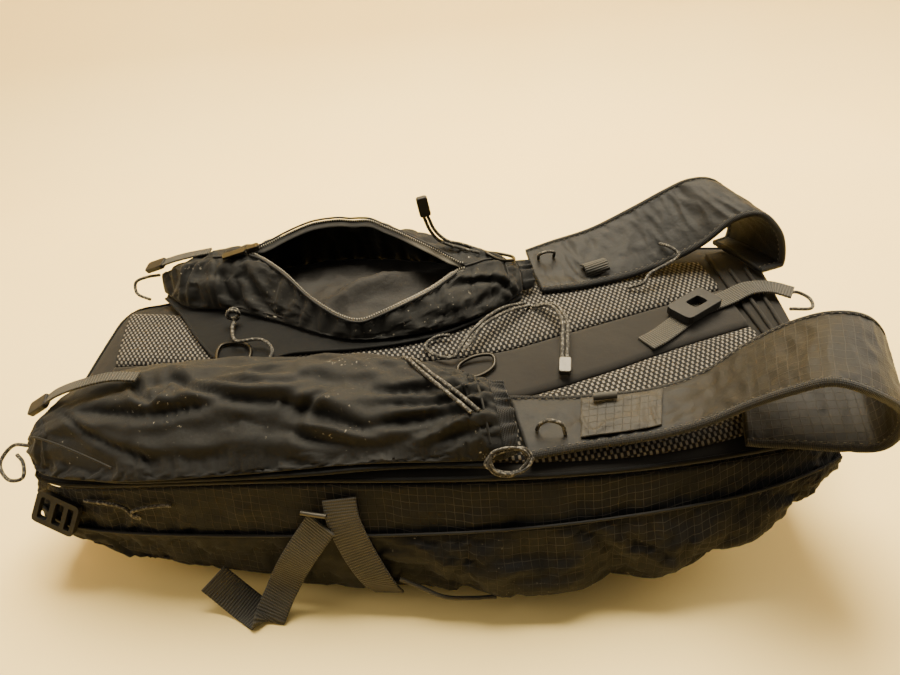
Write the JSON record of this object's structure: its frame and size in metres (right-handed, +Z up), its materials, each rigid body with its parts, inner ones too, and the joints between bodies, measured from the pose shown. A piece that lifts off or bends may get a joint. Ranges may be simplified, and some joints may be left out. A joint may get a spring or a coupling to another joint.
{
  "type": "trail running backpack",
  "caption": "Vest-style running backpack lying back panel up, with padded arched shoulder straps, a gathered bottle pocket, an open zipped chest pocket and elastic cords.",
  "frame": {"origin": "On the floor under the middle of the pack's bounding box, cords left out", "axes": "X runs along the back toward the neck, Y runs from the near side to the far side, Z is up, away from the floor"},
  "size_m": [0.5685, 0.3074, 0.1926],
  "materials": {
    "ripstop": "coated ripstop nylon",
    "pocket_cloth": "light stretch nylon with a faint sheen",
    "panel_cloth": "matt padded knit",
    "spacer_mesh": "open spacer mesh",
    "strap_cloth": "padded ripstop with a bound edge",
    "webbing": "ribbed woven tape",
    "cord": "braided elastic cord",
    "hard_plastic": "moulded, satin",
    "metal": "plated, dull"
  },
  "bodies": {
    "pack": {"pack_shell": "ripstop", "front_pocket": "pocket_cloth", "back_panel": "panel_cloth", "mesh_channel_near": "spacer_mesh", "centre_band": "panel_cloth", "mesh_channel_far": "spacer_mesh", "neck_yoke": "panel_cloth", "yoke_piping_1": "panel_cloth", "yoke_piping_2": "panel_cloth", "shoulder_strap_near": "strap_cloth", "shoulder_strap_far": "strap_cloth", "chest_panel_near": "spacer_mesh", "chest_panel_far": "spacer_mesh", "bottle_pocket": "pocket_cloth", "bottle_pocket_hem": "pocket_cloth", "zip_pocket": "pocket_cloth", "zip_tape_near": "strap_cloth", "zip_tape_far": "strap_cloth", "zip_slider": "metal", "zip_pocket_hem": "pocket_cloth", "strap_sleeve_near": "ripstop", "elastic_roll_near": "webbing", "strap_loop_near": "cord", "hem_cord_1": "cord", "hem_cord_2": "cord", "hem_cord_winding": "cord", "pull_strap_near": "webbing", "pull_tab_near": "hard_plastic", "end_loops_near": "cord", "ladder_buckle": "hard_plastic", "toggle_cord_near": "cord", "far_tie_knot": "cord", "far_tie_cord": "cord", "far_wire_hook": "metal", "centre_wire_hook": "metal", "arc_cord_low_1": "cord", "arc_cord_low_2": "cord", "arc_cord_high_1": "cord", "arc_cord_high_2": "cord", "cord_ferrule": "metal", "stand_cord_1": "cord", "stand_cord_2": "cord", "stand_cord_tag": "hard_plastic", "far_pocket_ring": "metal", "strap_loop_far": "cord", "strap_tab_far": "webbing", "strap_cord_far": "cord", "end_strap_far": "webbing", "end_tab_far": "hard_plastic", "end_loop_far": "cord", "top_strap": "webbing", "top_buckle": "hard_plastic", "haul_loop": "cord", "side_strap_upper": "webbing", "side_strap_bar": "metal", "side_strap_leg": "webbing", "bottom_piping": "webbing"},
    "zip_pull": {"zip_pull": "metal"}
  },
  "joints": [
    {"name": "zip_pull_hinge", "type": "hinge", "parent": "pack", "child": "zip_pull", "pos_m": [-0.12569, 0.10924, 0.15188], "axis": [0, 1, 0], "range_deg": [0, 100]}
  ]
}
